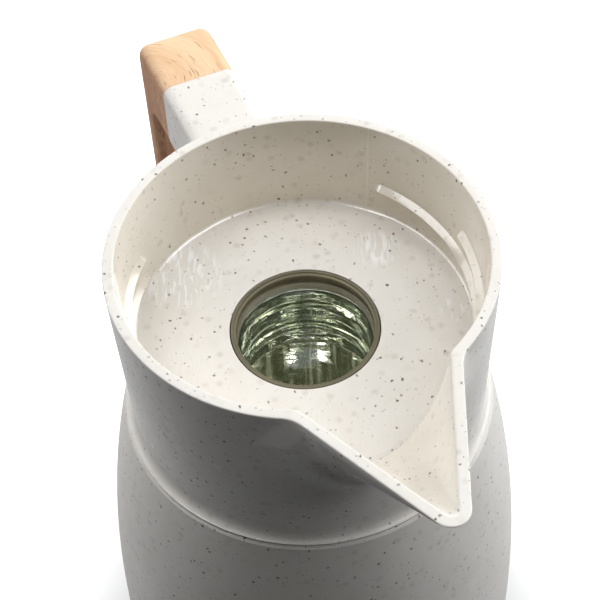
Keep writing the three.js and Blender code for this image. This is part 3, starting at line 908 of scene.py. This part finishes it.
def drawnRadius(radius, z, azimuth):  # where the spout pulls a point of the wall or the floor's fillet
    c = collar
    rim = c["rimTop"]
    floor = rim - c["bowlDepth"]
    flareTop = c["seamHeight"] + c["flareHeight"]
    outer = c["waistRadius"] + (c["rimRadius"] - c["waistRadius"]) * (z - flareTop) / (rim - flareTop)
    share = (z - floor) / c["bowlDepth"]
    inner = c["bowlFloorRadius"] + (c["bowlRimRadius"] - c["bowlFloorRadius"]) * share
    across = 0 if z < floor - tiny else min(1, max(0, (outer - radius) / (outer - inner)))
    if across < 1:
        grown = min(1, (rim - z) / spout["blendDepth"])
        blend = spout["rimBlend"] + (spout["outerBlend"] - spout["rimBlend"]) * grown
        reach = softMax(outer, spoutRadius(azimuth, rim - z, False), blend)
        radius += (1 - across) * (reach - outer)
    if across > 0:
        if z < floor + c["bowlFillet"]:  # the fillet runs out where the ramp starts
            ramp = spoutRadius(azimuth, c["bowlDepth"] - 2 * c["bowlFillet"], True) - inner
            radius += (inner - radius) * min(1, max(0, ramp / spout["rampEase"]))
        reach = softMax(inner, spoutRadius(azimuth, rim - z, True), spout["innerBlend"])
        radius += across * (reach - inner)
    return radius


def drawSpout(bm):
    c = collar
    floor = c["rimTop"] - c["bowlDepth"]
    flareTop = c["seamHeight"] + c["flareHeight"]
    skirtInside = c["waistRadius"] - c["wall"] + c["wallMargin"]
    filletStart = c["bowlFloorRadius"] - c["bowlFillet"]
    for vert in bm.verts:
        x, y, z = vert.co
        radius = hypot(x, y)
        turned = atan2(y, x)
        azimuth = turned - c["crowding"] * sin(turned)
        onWall = z > flareTop and (radius > skirtInside or z >= floor - tiny)
        if onWall and radius > filletStart - tiny and abs(azimuth) < spout["halfTurn"]:
            radius = drawnRadius(radius, z, azimuth)
        vert.co.x = radius * cos(azimuth)
        vert.co.y = radius * sin(azimuth)


def lidRib(highEnd, sweep, rise):
    floor = collar["rimTop"] - collar["bowlDepth"]
    draft = (collar["bowlRimRadius"] - collar["bowlFloorRadius"]) / collar["bowlDepth"]
    wall = collar["bowlFloorRadius"] + draft * rise
    half = lidRibs["height"] / 2
    crest = wall - lidRibs["depth"]
    root = wall + lidRibs["root"]
    section = softCorners([
        (root, floor + rise - half, 0),
        (root, floor + rise + half, 0),
        (wall - lidRibs["topStep"], floor + rise + half, lidRibs["edge"]),
        (crest, floor + rise - half + lidRibs["lowStep"], lidRibs["edge"]),
        (crest, floor + rise - half, lidRibs["edge"]),
    ])
    bm = helixShape(section, highEnd, sweep, lidRibs["lead"], lidRibs["stepsPerDegree"] * sweep)
    for vert in bm.verts:  # both ends shrink towards the wall
        turned = (highEnd - degrees(atan2(vert.co.y, vert.co.x)) + 180) % 360 - 180
        full = min(1, max(0, min(turned, sweep - turned)) / lidRibs["endTaper"])
        size = max(lidRibs["endSize"], sqrt(1 - (1 - full) ** 2))
        radius = hypot(vert.co.x, vert.co.y)
        shrunk = wall - (wall - radius) * size if radius < wall else radius
        vert.co.x *= shrunk / radius
        vert.co.y *= shrunk / radius
        middle = floor + rise - lidRibs["lead"] * turned / 360
        vert.co.z = middle + (vert.co.z - middle) * size
    return bm


def makeCollar():
    bm = spunShape(collarOutline(), collar["columns"])
    cleaned(bm)
    drawSpout(bm)
    piece = shapeObject("collar_moulding", bm)
    reach = collar["rimRadius"] - collar["stubSink"]
    stub = armStub(handle["upperBottom"], handle["upperTop"], reach, handle["upperSocket"])
    tools = [shapeObject("stub_tool", stub)]
    for turn in (0, 180):
        for highEnd, sweep, rise in lidRibs["ribs"]:
            tools.append(shapeObject("rib_tool", lidRib(highEnd + turn, sweep, rise)))
    combine(piece, tools, "UNION")
    combine(piece, [shapeObject("plug_tool", plugCutter("upper"))], "DIFFERENCE")
    return dress(piece, collarFinish, "carafe", "speckled_plastic", "pouring_collar")


makeCollar()


# Casing

casing = {
    "columns": 256,
    "outsideRows": 64,
    "insideRows": 24,
    "top": shellHigh.z,
    "bottom": shellLow.z,
    "seamRadius": 54.1,
    "belly": 65.6,
    "bellyHeight": 42,
    "shoulderPower": 2.4,
    "swell": 3,
    "footRounding": 4,
    "footSteps": 10,
    "topEdge": 0.8,
    "topEdgeFrom": 15,  # degrees, where the shoulder runs into the rounding
    "topEdgeSteps": 5,
    "wall": 3,
    "spigotBottom": 144,
    "footPlate": 3,
    "bore": 52.4,
    "boss": 55.4,
    "lipRadius": 49,
    "lipBottom": 15,
    "lipTop": 17,
    "grooveInner": 54.0,
    "grooveOuter": 57.0,
    "grooveTop": 2.6,
}

thread = {  # of the casing and the base
    "lead": 8,
    "height": 1.4,
    "base": 2,
    "crest": 1,
    "sink": 0.4,
    "stepDegrees": 2,
    "starts": (0, 180),
    "casingSweep": 250,
    "casingTop": 13.7,
    "baseSweep": 220,
    "baseTop": 11.7,
}


def casingRadius(z):
    c = casing
    footTop = c["bottom"] + c["footRounding"]
    if z < c["bellyHeight"]:
        return c["belly"] - c["swell"] * ((c["bellyHeight"] - z) / (c["bellyHeight"] - footTop)) ** 2
    up = (z - c["bellyHeight"]) / (c["top"] - c["bellyHeight"])
    return c["belly"] - (c["belly"] - c["seamRadius"]) * up ** c["shoulderPower"]


def threadTools(root, crest, centre, sweep):
    base, top = thread["base"] / 2, thread["crest"] / 2
    section = [(root, centre - base), (crest, centre - top), (crest, centre + top), (root, centre + base)]
    steps = sweep // thread["stepDegrees"]
    return [
        shapeObject("thread_tool", helixShape(section, start, sweep, thread["lead"], steps))
        for start in thread["starts"]]


def makeCasing():
    c = casing
    footTop = c["bottom"] + c["footRounding"]
    edge = c["topEdge"]
    rows = c["outsideRows"]
    outside = [footTop + (c["top"] - edge - footTop) * i / rows for i in range(1, rows + 1)]
    neck = c["spigotBottom"] - c["wall"]
    rows = c["insideRows"]
    inside = [neck - (neck - footTop) * i / rows for i in range(rows + 1)]
    foot = casingRadius(footTop)
    plateTop = c["bottom"] + c["footPlate"]
    neckBore = c["seamRadius"] - c["wall"]
    outline = [
        *arcPoints(foot - c["footRounding"], footTop, c["footRounding"], -90, 0, c["footSteps"]),
        *[(casingRadius(z), z) for z in outside],
        *arcPoints(c["seamRadius"] - edge, c["top"] - edge, edge, c["topEdgeFrom"], 90, c["topEdgeSteps"]),
        (neckBore, c["top"]),
        (neckBore, c["spigotBottom"]),
        *[(casingRadius(z) - c["wall"], z) for z in inside],
        (foot - c["wall"], plateTop),
        (c["boss"], plateTop),
        (c["boss"], c["lipTop"]),
        (c["lipRadius"], c["lipTop"]),
        (c["lipRadius"], c["lipBottom"]),
        (c["bore"], c["lipBottom"]),
        (c["bore"], c["bottom"]),
        (c["grooveInner"], c["bottom"]),
        (c["grooveInner"], c["grooveTop"]),
        (c["grooveOuter"], c["grooveTop"]),
        (c["grooveOuter"], c["bottom"]),
    ]
    piece = shapeObject("casing_moulding", spunShape(outline, c["columns"]))
    middle = (handle["lowerTop"] + handle["lowerBottom"]) / 2
    reach = casingRadius(middle) - c["wall"] / 2
    stub = armStub(handle["lowerBottom"], handle["lowerTop"], reach, handle["lowerSocket"])
    crest = c["bore"] - thread["height"]
    ribs = threadTools(c["bore"] + thread["sink"], crest, thread["casingTop"], thread["casingSweep"])
    combine(piece, [shapeObject("stub_tool", stub), *ribs], "UNION")
    combine(piece, [shapeObject("plug_tool", plugCutter("lower"))], "DIFFERENCE")
    return dress(piece, casingFinish, "carafe", "speckled_plastic", "body_shell")


makeCasing()


# Wood grip: a C-shaped outline given its width, rounded along its edges, cut square at the joints

def makeGrip():
    h = handle
    spare = h["gripEnd"] + h["gripSpare"]
    web = h["back"] + h["thickness"]
    outline = softCorners([
        (spare, h["upperTop"], 0),
        (h["back"], h["upperTop"], h["outerCorner"]),
        (h["back"], h["lowerBottom"], h["outerCorner"]),
        (spare, h["lowerBottom"], 0),
        (spare, h["lowerTop"], 0),
        (web, h["lowerTop"], h["innerCorner"]),
        (web, h["upperBottom"], h["innerCorner"]),
        (spare, h["upperBottom"], 0),
    ], h["cornerSteps"])
    bm = bmesh.new()
    half = h["width"] / 2
    face = bm.faces.new([bm.verts.new((x, -half, z)) for x, z in outline])
    made = bmesh.ops.extrude_face_region(bm, geom=[face], use_keep_orig=True)["geom"]
    bmesh.ops.translate(bm, vec=(0, h["width"], 0), verts=vertsOf(made))
    cleaned(bm)
    rims = [e for e in bm.edges if abs(e.verts[0].co.y - e.verts[1].co.y) < tiny]
    bmesh.ops.bevel(
        bm, geom=rims, offset=h["edge"], segments=h["gripSegments"], profile=0.5,
        affect="EDGES", material=-1, clamp_overlap=True)
    bmesh.ops.bisect_plane(
        bm, geom=wholeOf(bm), plane_co=(h["gripEnd"], 0, 0), plane_no=(1, 0, 0), clear_outer=True)
    ends = bmesh.ops.edgeloop_fill(bm, edges=[e for e in bm.edges if e.is_boundary])["faces"]
    bmesh.ops.recalc_face_normals(bm, faces=bm.faces)
    for end in ends:
        upper = end.calc_center_median().z > (h["upperTop"] + h["lowerBottom"]) / 2
        bmesh.ops.inset_region(bm, faces=[end], thickness=h["seamEdge"], depth=0)
        bmesh.ops.inset_region(bm, faces=[end], thickness=h["tongueWall"] - h["seamEdge"], depth=0)
        tongue = h["upperTongue"] if upper else h["lowerTongue"]
        made = bmesh.ops.extrude_face_region(bm, geom=[end])["geom"]
        bmesh.ops.translate(bm, vec=(tongue, 0, 0), verts=vertsOf(made))
        bmesh.ops.delete(bm, geom=[end], context="FACES_ONLY")
    piece = shapeObject("handle_grip", bm)
    return dress(piece, woodFinish, "carafe", "beech_wood", "wood_grip", sharp=h["sharp"])


makeGrip()


# Mouth seal, flask, base and foot

mouthSeal = {
    "columns": 160,
    "rowSpacing": 1.5,
    "cornerSteps": 5,
    "bore": 19.3,
    "boreTop": 179.6,
    "boreSlope": 0.3,
    "recess": 20.1,
    "recessTop": 180.8,
    "beadBore": 19.4,
    "beadBottom": 181.1,
    "beadTop": 182.8,
    "beadEdges": (0.4, 0.2),  # upper and lower
    "lipInner": 20.35,
    "lipOuter": 21.0,
    "lipTop": 183.25,
    "lipEdges": (0.25, 0.2),  # outer and inner
    "flangeTop": 180.1,
    "flangeBottom": 177.0,
    "skirtInner": 22.9,
    "skirtOuter": 24.6,
    "skirtBottom": boxOf("mouth_seal")[0].z,
    "edge": 0.3,
}


def makeMouthSeal():
    m = mouthSeal
    outline = softCorners([
        (m["bore"], m["flangeBottom"], m["edge"]),
        (m["skirtInner"], m["flangeBottom"], 0),
        (m["skirtInner"], m["skirtBottom"], m["edge"]),
        (m["skirtOuter"], m["skirtBottom"], m["edge"]),
        (m["skirtOuter"], m["flangeTop"], m["edge"]),
        (m["lipOuter"], m["flangeTop"], 0),
        (m["lipOuter"], m["lipTop"], m["lipEdges"][0]),
        (m["lipInner"], m["lipTop"], m["lipEdges"][1]),
        (m["lipInner"], m["beadTop"], 0),
        (m["beadBore"], m["beadTop"], m["beadEdges"][0]),
        (m["beadBore"], m["beadBottom"], m["beadEdges"][1]),
        (m["recess"], m["recessTop"], 0),
        (m["recess"], m["boreTop"] + m["boreSlope"], 0),
        (m["bore"], m["boreTop"], m["edge"]),
    ], m["cornerSteps"])
    piece = shapeObject("mouth_ring", spunShape(evenRows(outline, m["rowSpacing"]), m["columns"]))
    return dress(piece, sealFinish, "carafe", "taupe_silicone", "mouth_seal")


makeMouthSeal()

flask = {
    "columns": 128,
    "lipTop": boxOf("liner_inner_flask")[1].z,
    "lipRadius": 22.6,
    "lipHeight": 1.5,
    "lipEdges": (0.5, 0.6),  # lower and upper
    "neck": 19.3,
    "neckFoot": 156.7,
    "neckStop": 1,  # the rows of the neck end this far below the lip
    "neckSteps": 48,
    "shoulderFoot": 121.7,
    "shoulderPulls": (0.6, 0.5),
    "shoulderSteps": 24,
    "bore": 42.5,
    "bodySteps": 16,
    "domeTop": 49.8,
    "domeSteps": 16,
    "bottom": 21.8,
    "glass": 1.5,
    "rings": [(172.2, 1.4, 0.10), (164.6, 1.9, 0.24), (157.6, 1.3, 0.18)],  # height, half width, depth
    "sharp": 50,
}


def flaskFace(neck, bore, bottom, neckFoot):
    f = flask
    bend = f["domeTop"] - bottom
    angles = [pi / 2 * i / f["domeSteps"] for i in range(f["domeSteps"] + 1)]
    face = [(bore * sin(a), f["domeTop"] - bend * cos(a)) for a in angles]
    foot = f["shoulderFoot"]
    tall = foot - f["domeTop"]
    face += [(bore, f["domeTop"] + tall * i / f["bodySteps"]) for i in range(1, f["bodySteps"])]
    rise = neckFoot - foot
    lowPull, highPull = f["shoulderPulls"]
    for i in range(f["shoulderSteps"] + 1):
        t = i / f["shoulderSteps"]
        r = bore * (1 - t) ** 2 * (1 + 2 * t) + neck * t * t * (3 - 2 * t)
        z = (1 - t) ** 3 * foot + 3 * t * (1 - t) ** 2 * (foot + rise * lowPull)
        z += 3 * t * t * (1 - t) * (neckFoot - rise * highPull) + t ** 3 * neckFoot
        face.append((r, z))
    return face


def makeFlask():
    f = flask
    glass = f["glass"]
    outside = flaskFace(f["neck"] + glass, f["bore"] + glass, f["bottom"] - glass, f["neckFoot"] + glass)
    inside = flaskFace(f["neck"], f["bore"], f["bottom"], f["neckFoot"])
    for i in range(1, f["neckSteps"] + 1):
        z = f["neckFoot"] + (f["lipTop"] - f["neckStop"] - f["neckFoot"]) * i / f["neckSteps"]
        ridge = sum(depth * exp(-((z - middle) / half) ** 2) for middle, half, depth in f["rings"])
        inside.append((f["neck"] - ridge, z))
    lowEdge, highEdge = f["lipEdges"]
    lip = softCorners([
        (f["neck"] + glass, f["lipTop"] - f["lipHeight"], 0),
        (f["lipRadius"], f["lipTop"] - f["lipHeight"], lowEdge),
        (f["lipRadius"], f["lipTop"], highEdge),
        (f["neck"], f["lipTop"], highEdge),
    ])
    outline = outside + lip + inside[::-1]
    piece = shapeObject("glass_flask", spunShape(outline, f["columns"], closed=False))
    return dress(piece, glassFinish, "carafe", "silvered_glass", "liner_inner_flask", sharp=f["sharp"])


makeFlask()

capLow, capHigh = boxOf("base_cap")
baseCap = {
    "columns": 192,
    "bottom": capLow.z,
    "plate": 3,
    "radius": 52,
    "lowEdge": 0.5,
    "wallRadius": 50.6,
    "wallThickness": 3,
    "wallTop": capHigh.z,
    "topEdge": 0.4,
    "edgeSteps": 4,
    "gripRadius": 34,
    "gripDepth": 1.6,
    "gripTaper": 0.8,
    "gripBar": 12,
    "gripSides": 96,
}


def fingerHollow(side):
    b = baseCap
    bm = bmesh.new()
    bmesh.ops.create_cone(
        bm, cap_ends=True, segments=b["gripSides"], radius1=b["gripRadius"],
        radius2=b["gripRadius"] - b["gripTaper"], depth=2 * b["gripDepth"])
    bmesh.ops.translate(bm, verts=bm.verts, vec=(0, 0, b["bottom"]))
    bmesh.ops.bisect_plane(
        bm, geom=wholeOf(bm), plane_co=(0, side * b["gripBar"] / 2, 0), plane_no=(0, -side, 0),
        clear_outer=True)
    bmesh.ops.edgeloop_fill(bm, edges=[e for e in bm.edges if e.is_boundary])
    return bm


def makeBaseCap():
    b = baseCap
    plateTop = b["bottom"] + b["plate"]
    wallInner = b["wallRadius"] - b["wallThickness"]
    low, top, steps = b["lowEdge"], b["topEdge"], b["edgeSteps"]
    half = [
        (0, b["bottom"]),
        *arcPoints(b["radius"] - low, b["bottom"] + low, low, -90, 0, steps),
        (b["radius"], plateTop),
        (b["wallRadius"], plateTop),
        *arcPoints(b["wallRadius"] - top, b["wallTop"] - top, top, 0, 90, steps),
        (wallInner, b["wallTop"]),
        (wallInner, plateTop),
        (0, plateTop),
    ]
    piece = shapeObject("screw_base", spunShape(half, b["columns"], closed=False))
    root = b["wallRadius"] - thread["sink"]
    combine(piece, threadTools(root, b["radius"], thread["baseTop"], thread["baseSweep"]), "UNION")
    combine(piece, [shapeObject("hollow_tool", fingerHollow(side)) for side in (1, -1)], "DIFFERENCE")
    return dress(piece, casingFinish, "base", "speckled_plastic", "base_cap")


makeBaseCap()

footLow, footHigh = boxOf("foot_ring")
footRing = {
    "columns": 192,
    "cornerSteps": 5,
    "inner": 54.3,
    "outer": 56.7,
    "bottom": footLow.z,
    "top": footHigh.z,
    "lowEdge": 0.6,
    "topEdge": 0.2,
}


def makeFootRing():
    f = footRing
    outline = softCorners([
        (f["inner"], f["bottom"], f["lowEdge"]),
        (f["outer"], f["bottom"], f["lowEdge"]),
        (f["outer"], f["top"], f["topEdge"]),
        (f["inner"], f["top"], f["topEdge"]),
    ], f["cornerSteps"])
    piece = shapeObject("rubber_foot", spunShape(outline, f["columns"]))
    return dress(piece, rubberFinish, "carafe", "grey_rubber", "foot_ring")


makeFootRing()


def makePlug(name):
    low, high = plugBoxes[name]
    bm = roundBar(plug["radius"], high.z - low.z)
    rim = [e for e in bm.edges if all(v.co.z < 0 for v in e.verts)]
    bmesh.ops.bevel(
        bm, geom=rim, offset=plug["edge"], segments=plug["edgeSegments"], profile=0.5,
        affect="EDGES", material=-1)
    bmesh.ops.translate(bm, verts=bm.verts, vec=((low + high) / 2))
    piece = shapeObject(name + "_plug_button", bm)
    finish = collarFinish if name == "upper" else casingFinish
    return dress(piece, finish, "carafe", "speckled_plastic", name + "_screw_plug")


for plugName in plugBoxes:
    makePlug(plugName)


# Pieces that keep their CAD shape

keptFinishes = {
    "collar_seal": rubberFinish,
    "base_seal": rubberFinish,
    "liner_cushion": rubberFinish,
    "liner_outer_flask": glassFinish,
    "spacer_pad_1": feltFinish,
    "spacer_pad_2": feltFinish,
    "spacer_pad_3": feltFinish,
    "upper_grip_screw": steelFinish,
    "lower_grip_screw": steelFinish,
}
for node, finish in keptFinishes.items():
    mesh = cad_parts[node].data
    mesh.materials.clear()
    mesh.materials.append(finish)
print("hidden pieces finished")


# Studio

studio = {
    "floorSize": 6.0,
    "floorTiles": 8,
    "floorShade": (0.55, 0.55, 0.55, 1),  # the part of the floor's white that takes the shadow
    "floorBounce": (0.05, 0.05, 0.05, 1),  # grey that the floor throws back on the carafe
    "floorGlowInPaintedShade": 0.32,  # beside the carafe, rising to plain white: painted shade that deepens the carafe's shadow close to it
    "floorFade": (0.07, 0.11),  # metres from the axis
    "ambient": 0.005,
    "mirrorShare": 0.40,  # how much of the white surround shows in glossy surfaces
    "ceiling": (0.42, 0.46, 0.55, 1),  # strip straight above that the glass shows
    "skylight": (4, 4, 4, 1),  # to both sides of the strip
    "skylightRise": (0.84, 0.95),
    "ceilingSide": (0.3616, 0.932, 0),  # across the strip
    "stripEdge": (0.15, 0.18),
    "aim": (0, 0, 0.18),
    "lights": [  # name, place in metres, size, power, colour
        ("top_left", (-0.285, -0.32, 1.15), 0.46, 3.95, (0.98, 0.99, 1)),
        ("top_right", (0.005, 0.427, 1.15), 0.46, 3.10, (0.98, 0.99, 1)),
        ("right_high", (0.289, 0.746, 0.98), 0.4, 1.65, (0.93, 0.96, 1)),
        ("right_low", (0.08, 1.04, 0.45), 0.5, 4.85, (0.93, 0.96, 1)),
        ("front_right", (0.683, 0.378, 0.98), 0.4, 1.70, (0.98, 0.99, 1)),
        ("left_low", (-0.64, -0.82, 0.45), 0.5, 2.55, (0.93, 0.96, 1)),
        ("back_left", (-0.96, -0.27, 0.6), 0.5, 1.31, (0.98, 0.99, 1)),
        ("back_left_high", (-0.683, -0.378, 0.98), 0.4, 1.62, (0.98, 0.99, 1)),
        ("back_right", (-0.53, 0.85, 0.6), 0.5, 5.20, (0.98, 0.99, 1)),
    ],
}


def cameraSees(tree):  # camera and transmission rays meet a plain white surround, glossy rays a greyer one
    path = addNode(tree, "ShaderNodeLightPath").outputs
    mirrored = product(tree, path["Is Glossy Ray"], studio["mirrorShare"])
    either = arithmetic(tree, "MAXIMUM", path["Is Camera Ray"], mirrored)
    return arithmetic(tree, "MAXIMUM", either, path["Is Transmission Ray"])


def makeFloor():
    bm = bmesh.new()
    tiles = studio["floorTiles"]
    bmesh.ops.create_grid(bm, x_segments=tiles, y_segments=tiles, size=studio["floorSize"] / 2)
    mesh = bpy.data.meshes.new("floor")
    bm.to_mesh(mesh)
    bm.free()
    floor = bpy.data.objects.new("floor", mesh)
    scene.collection.objects.link(floor)
    material, tree, shader = newMaterial("floor")
    seen = cameraSees(tree)
    away = addNode(tree, "ShaderNodeVectorMath", {0: objectPlace(tree)}, operation="LENGTH").outputs["Value"]
    # painted shade: the floor glows less near the carafe, so its shadow there is deeper
    glow = spread(tree, away, *studio["floorFade"], studio["floorGlowInPaintedShade"], 1)
    setInputs(tree, shader, {
        "Base Color": mixColours(tree, seen, studio["floorBounce"], studio["floorShade"]),
        "Emission Strength": product(tree, seen, glow),
        "Emission Color": white,
        "Roughness": 1.0,
        "Specular IOR Level": 0.0,
    })
    mesh.materials.append(material)


def makeWorld():
    world = bpy.data.worlds.new("studio")
    world.use_nodes = True
    scene.world = world
    tree = world.node_tree
    direction = addNode(tree, "ShaderNodeTexCoord").outputs["Generated"]
    glossy = addNode(tree, "ShaderNodeLightPath").outputs["Is Glossy Ray"]
    aside = arithmetic(tree, "ABSOLUTE", along(tree, direction, studio["ceilingSide"]))
    strip = spread(tree, aside, *studio["stripEdge"], 1, 0)
    above = mixColours(tree, strip, studio["skylight"], studio["ceiling"])
    overhead = spread(tree, axesOf(tree, direction)[2], *studio["skylightRise"], 0, 1)
    setInputs(tree, tree.nodes["Background"], {
        "Color": mixColours(tree, product(tree, overhead, glossy), white, above),
        "Strength": spread(tree, cameraSees(tree), 0, 1, studio["ambient"], 1),
    })


def makeLights():
    for name, place, size, power, colour in studio["lights"]:
        data = bpy.data.lights.new(name, "AREA")
        data.shape = "DISK"
        data.size = size
        data.energy = power
        data.color = colour
        light = bpy.data.objects.new(name, data)
        light.location = place
        light.rotation_euler = (Vector(studio["aim"]) - Vector(place)).to_track_quat("-Z", "Y").to_euler()
        scene.collection.objects.link(light)


makeFloor()
makeWorld()
makeLights()
print("studio ready")
